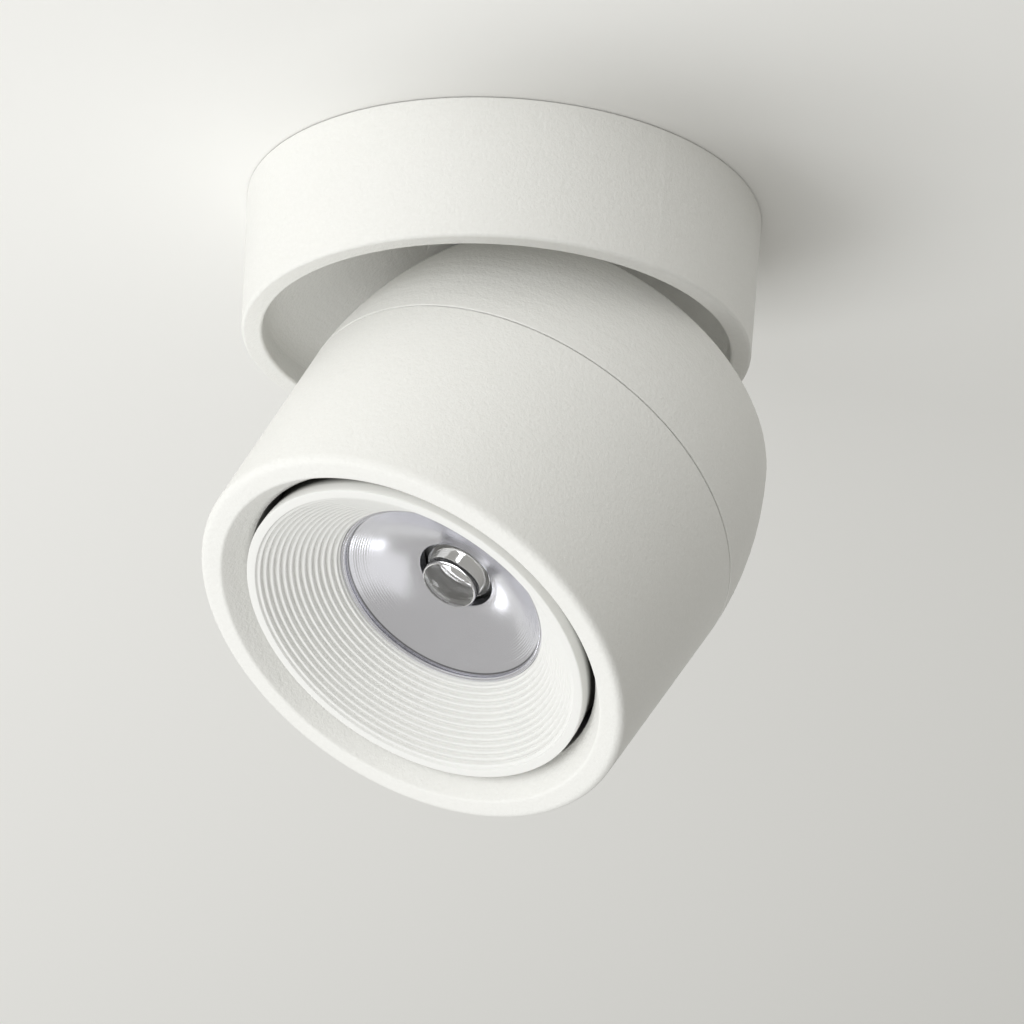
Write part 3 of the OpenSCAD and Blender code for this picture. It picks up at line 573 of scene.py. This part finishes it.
# %% Bowl, ring and core lens
OPTIC_R = 18.5
OPTIC_DEPTH = 12.0
NECK_R = 6.9
NECK_LIP = 17.6
NECK_DEPTH = 19.6
BOWL_WALL = 0.9
BOWL_FLANGE_R = 20.9
BOWL_POWER = 0.62
BOWL_STEPS = 72
RIPPLE = 0.07
RIPPLE_COUNT = 11.0
RING_OUT = 19.2
CORE_R = 5.0
CORE_FRONT = 13.8
CORE_DOME = 1.3
CORE_FOOT = 0.8
CORE_TURNS = 144
FOOT_R = 5.9


def bowl_inside():
    """Inner line of the bowl: r = neck + (mouth - neck) * s^power at depth lip - s * length.

    Near the mouth a ripple of a few hundredths of a millimetre is taken off the radius: the height
    of a sine, taken positive, that fades in from s = 0.35 and out towards s = 0.97.
    """
    s = np.linspace(0.0, 1.0, BOWL_STEPS + 1)
    r = NECK_R + (OPTIC_R - NECK_R) * s**BOWL_POWER
    fade = np.clip((s - 0.35) * 4.0, 0.0, 1.0) * np.clip((0.97 - s) * 12.0, 0.0, 1.0)
    ripple = np.abs(RIPPLE * np.sin(2.0 * np.pi * s * RIPPLE_COUNT) * fade)
    return np.column_stack([r - ripple, NECK_LIP + (OPTIC_BACK - NECK_LIP) * s])


inside = bowl_inside()
outside = inside[::-6] + [BOWL_WALL, 0.5 * BOWL_WALL]
outside = outside[(outside[:, 1] < NECK_DEPTH) & (outside[:, 1] > OPTIC_BACK + BOWL_WALL)]
bowl_rows = [[NECK_R, NECK_DEPTH, 0.0], [NECK_R, NECK_LIP, 0.12]] + [[*p, 0.0] for p in inside[1:]]
flange_rows = [[BOWL_FLANGE_R, OPTIC_BACK, 0.2], [BOWL_FLANGE_R, OPTIC_BACK + BOWL_WALL, 0.2]]
foot_rows = [[*p, 0.0] for p in outside] + [[outside[-1, 0] - 0.4, NECK_DEPTH, 0.0]]
fit(turned("reflector_fine", rounded(bowl_rows + flange_rows + foot_rows), in_head), "reflector")

ring_outline = rounded([
    [OPTIC_R, OPTIC_BACK, 0.1],
    [OPTIC_R, OPTIC_DEPTH, 0.34],
    [RING_OUT, OPTIC_DEPTH, 0.2],
    [RING_OUT, OPTIC_BACK, 0.1],
])
fit(turned("optic_ring_fine", ring_outline, in_head), "optic_ring")


def dome(radius, top, rise, steps=24):
    """Arc from the axis to the edge of a low dome.

    depth = top + R - sqrt(R^2 - r^2), with the ball's radius R = (radius^2 + rise^2) / (2 rise).
    """
    ball = (radius * radius + rise * rise) / (2.0 * rise)
    r = radius * np.sin(np.linspace(0.0, 0.5 * np.pi, steps + 1))
    return np.column_stack([r, top + ball - np.sqrt(ball * ball - r * r)])


front = dome(CORE_R, CORE_FRONT, CORE_DOME)
core_outline = rounded(
    [[*p, 0.0] for p in front[:-1]]
    + [[*front[-1], 0.6], [CORE_R, NECK_DEPTH - CORE_FOOT, 0.2]]
    + [[FOOT_R, NECK_DEPTH - CORE_FOOT, 0.15], [FOOT_R, NECK_DEPTH, 0.1], [0.0, NECK_DEPTH, 0.0]]
)
fit(turned("core_lens_fine", core_outline, in_head, CORE_TURNS), "core_lens")

# %% [markdown]
# ## Ceiling, light and background
# The ring meets a plain pale ceiling, which is the stage's floor here. It is one sheet just above
# the ring, see-through from its upper side and inside the ring's wall, so that the views from above
# see the light's hidden side and light falls on it. In the photo the ceiling gets darker to the
# right. A lamp strong enough to do that would turn the white head into a flat patch, so the
# fall-off is painted: the paint darkens along one direction.
#
# Six soft lamps and an even world light the scene. Three of them do most of the work and aren't
# mirrored in the metal: a large one below the head and to its left, a large one beside the camera
# just under the ceiling, and a small near one at the left. In the bright bowl each would leave a
# hard white square. The bowl mirrors a pale soft panel instead, and two small lamps that make the
# two bright spots. Their directions were found by following the mirrored ray from the camera.

# %% Stage
CEILING_GAP = 0.2 * MM
CEILING_HALF = 3.0
CANOPY_HOLE = 0.0435
CEILING_FALL = (0.75, 1.77, 0.0)
CEILING_SHADE = 0.3
LAMP_AIM = Vector((0.0, 0.0, -55.0)) * MM
LAMP_COLOR = (0.985, 0.995, 1.0)
WORLD_COLOR = (1.0, 0.985, 0.93)
WORLD_STRENGTH = 0.37
BACKDROP = (0.80, 0.80, 0.78)


def make_ceiling():
    """Pale sheet just above the ring, see-through from its upper side and inside the ring's wall.

    The dark share of its paint is shade + fall . place, kept between 0.1 and 1.
    """
    mesh = bpy.data.meshes.new("ceiling")
    h = CEILING_HALF
    corners = [(-h, -h, CEILING_GAP), (-h, h, CEILING_GAP), (h, h, CEILING_GAP), (h, -h, CEILING_GAP)]
    mesh.from_pydata(corners, [], [(0, 1, 2, 3)])
    ceiling = bpy.data.objects.new("ceiling", mesh)
    bpy.context.scene.collection.objects.link(ceiling)
    f = Finish("ceiling_paint", (0.99, 0.985, 0.965), 0.9)
    across = f.vector("DOT_PRODUCT", f.place, CEILING_FALL, out="Value")
    f.tint((across + CEILING_SHADE).clamp(0.1, 1.0), (0.65, 0.647, 0.627))
    inside = f.vector("LENGTH", f.place, out="Value").math("LESS_THAN", CANOPY_HOLE)
    back = f.node("ShaderNodeNewGeometry", out="Backfacing").math("MAXIMUM", inside)
    clear = f.node("ShaderNodeBsdfTransparent")
    paint = Level(f, f.shader.outputs[0])
    shown = f.node("ShaderNodeMixShader", None, {0: back, 1: paint, 2: clear})
    f.tree.links.new(shown.socket, f.tree.nodes["Material Output"].inputs["Surface"])
    mesh.materials.append(f.material)


def make_lamp(name, azimuth, drop, distance, size, power, mirrored=False):
    """Square soft lamp that faces the head from an azimuth about Z and an angle below level, in degrees.

    A lamp that isn't mirrored lights everything, but leaves no white square in the bright metal.
    """
    data = bpy.data.lights.new(name, "AREA")
    data.shape = "SQUARE"
    data.size = size
    data.energy = power
    data.color = LAMP_COLOR
    a, d = math.radians(azimuth), math.radians(drop)
    outward = Vector((math.cos(a) * math.cos(d), math.sin(a) * math.cos(d), -math.sin(d)))
    lamp = bpy.data.objects.new(name, data)
    bpy.context.scene.collection.objects.link(lamp)
    lamp.location = LAMP_AIM + distance * outward
    lamp.rotation_euler = (-outward).to_track_quat("-Z", "Y").to_euler()
    lamp.visible_glossy = mirrored


def make_world():
    """Even light from all round, with a plain pale backdrop for what looks straight at it."""
    world = bpy.data.worlds.new("studio")
    bpy.context.scene.world = world
    world.use_nodes = True
    tree = world.node_tree
    fill = tree.nodes["Background"]
    fill.inputs["Color"].default_value = (*WORLD_COLOR, 1.0)
    fill.inputs["Strength"].default_value = WORLD_STRENGTH
    shown = tree.nodes.new("ShaderNodeBackground")
    shown.inputs["Color"].default_value = (*BACKDROP, 1.0)
    path = tree.nodes.new("ShaderNodeLightPath")
    mix = tree.nodes.new("ShaderNodeMixShader")
    tree.links.new(path.outputs["Is Camera Ray"], mix.inputs[0])
    tree.links.new(fill.outputs[0], mix.inputs[1])
    tree.links.new(shown.outputs[0], mix.inputs[2])
    tree.links.new(mix.outputs[0], tree.nodes["World Output"].inputs["Surface"])


make_ceiling()
make_lamp("under_lamp", azimuth=-160.0, drop=65.0, distance=1.5, size=0.9, power=8.6)
make_lamp("soft_panel", azimuth=150.0, drop=75.0, distance=1.5, size=0.85, power=0.85, mirrored=True)
make_lamp("left_glint", azimuth=141.0, drop=54.0, distance=1.5, size=0.2, power=0.3, mirrored=True)
make_lamp("right_glint", azimuth=-168.0, drop=28.0, distance=1.5, size=0.22, power=0.5, mirrored=True)
make_lamp("side_lamp", azimuth=-60.0, drop=10.0, distance=1.5, size=0.9, power=6.8)
make_lamp("near_lamp", azimuth=-95.0, drop=15.0, distance=0.8, size=0.5, power=1.9)
make_world()
bpy.context.scene.view_settings.view_transform = "Standard"

# %% [markdown]
# ## End

# %% End
print("scene built")
